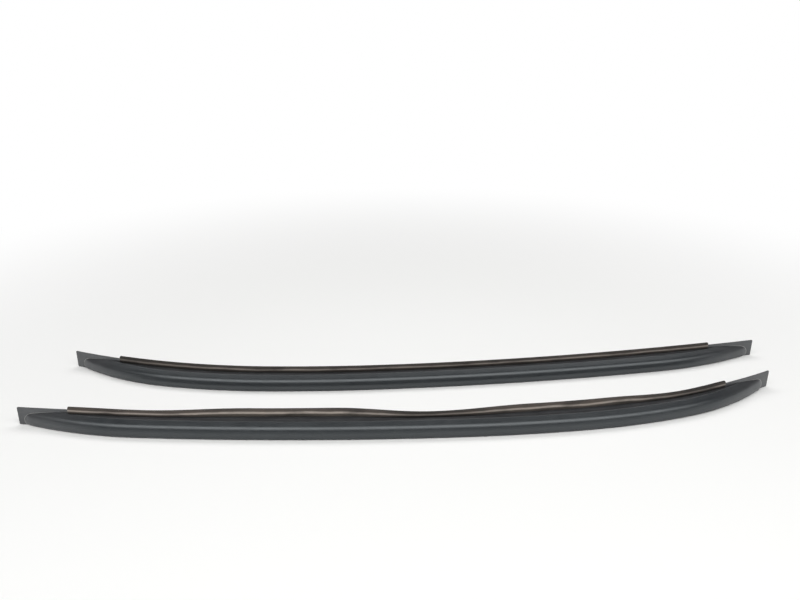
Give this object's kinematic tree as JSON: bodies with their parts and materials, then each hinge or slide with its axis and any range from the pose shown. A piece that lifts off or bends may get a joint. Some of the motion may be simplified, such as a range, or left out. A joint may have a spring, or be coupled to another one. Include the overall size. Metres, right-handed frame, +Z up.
{
  "type": "pair of flush roof rails",
  "caption": "Mirrored set of long curved flush roof rails for a car, with flat tongue ends, a hollow crowned head, a rubber edge seal and threaded studs on the base.",
  "frame": {"origin": "on the floor under the middle of the pair, as laid out", "axes": "+X along the rails, +Y from the near rail to the far rail, away from the rails' crowns, +Z up"},
  "size_m": [1.6986, 0.4095, 0.0551],
  "materials": {
    "black_coat": "satin black powder coat on aluminium",
    "seal_rubber": "dusty weathered rubber",
    "pad_rubber": "matt black cellular rubber",
    "stud_steel": "zinc plated"
  },
  "bodies": {
    "root": {"left_edge_seal": "seal_rubber", "left_rail": "black_coat", "left_rivet_stud_1": "stud_steel", "left_rivet_stud_2": "stud_steel", "left_rivet_stud_3": "stud_steel", "left_rivet_stud_4": "stud_steel", "left_sealing_pad_1": "pad_rubber", "left_sealing_pad_2": "pad_rubber", "left_sealing_pad_3": "pad_rubber", "left_sealing_pad_4": "pad_rubber", "right_edge_seal": "seal_rubber", "right_rail": "black_coat", "right_rivet_stud_1": "stud_steel", "right_rivet_stud_2": "stud_steel", "right_rivet_stud_3": "stud_steel", "right_rivet_stud_4": "stud_steel", "right_sealing_pad_1": "pad_rubber", "right_sealing_pad_2": "pad_rubber", "right_sealing_pad_3": "pad_rubber", "right_sealing_pad_4": "pad_rubber"}
  },
  "joints": []
}
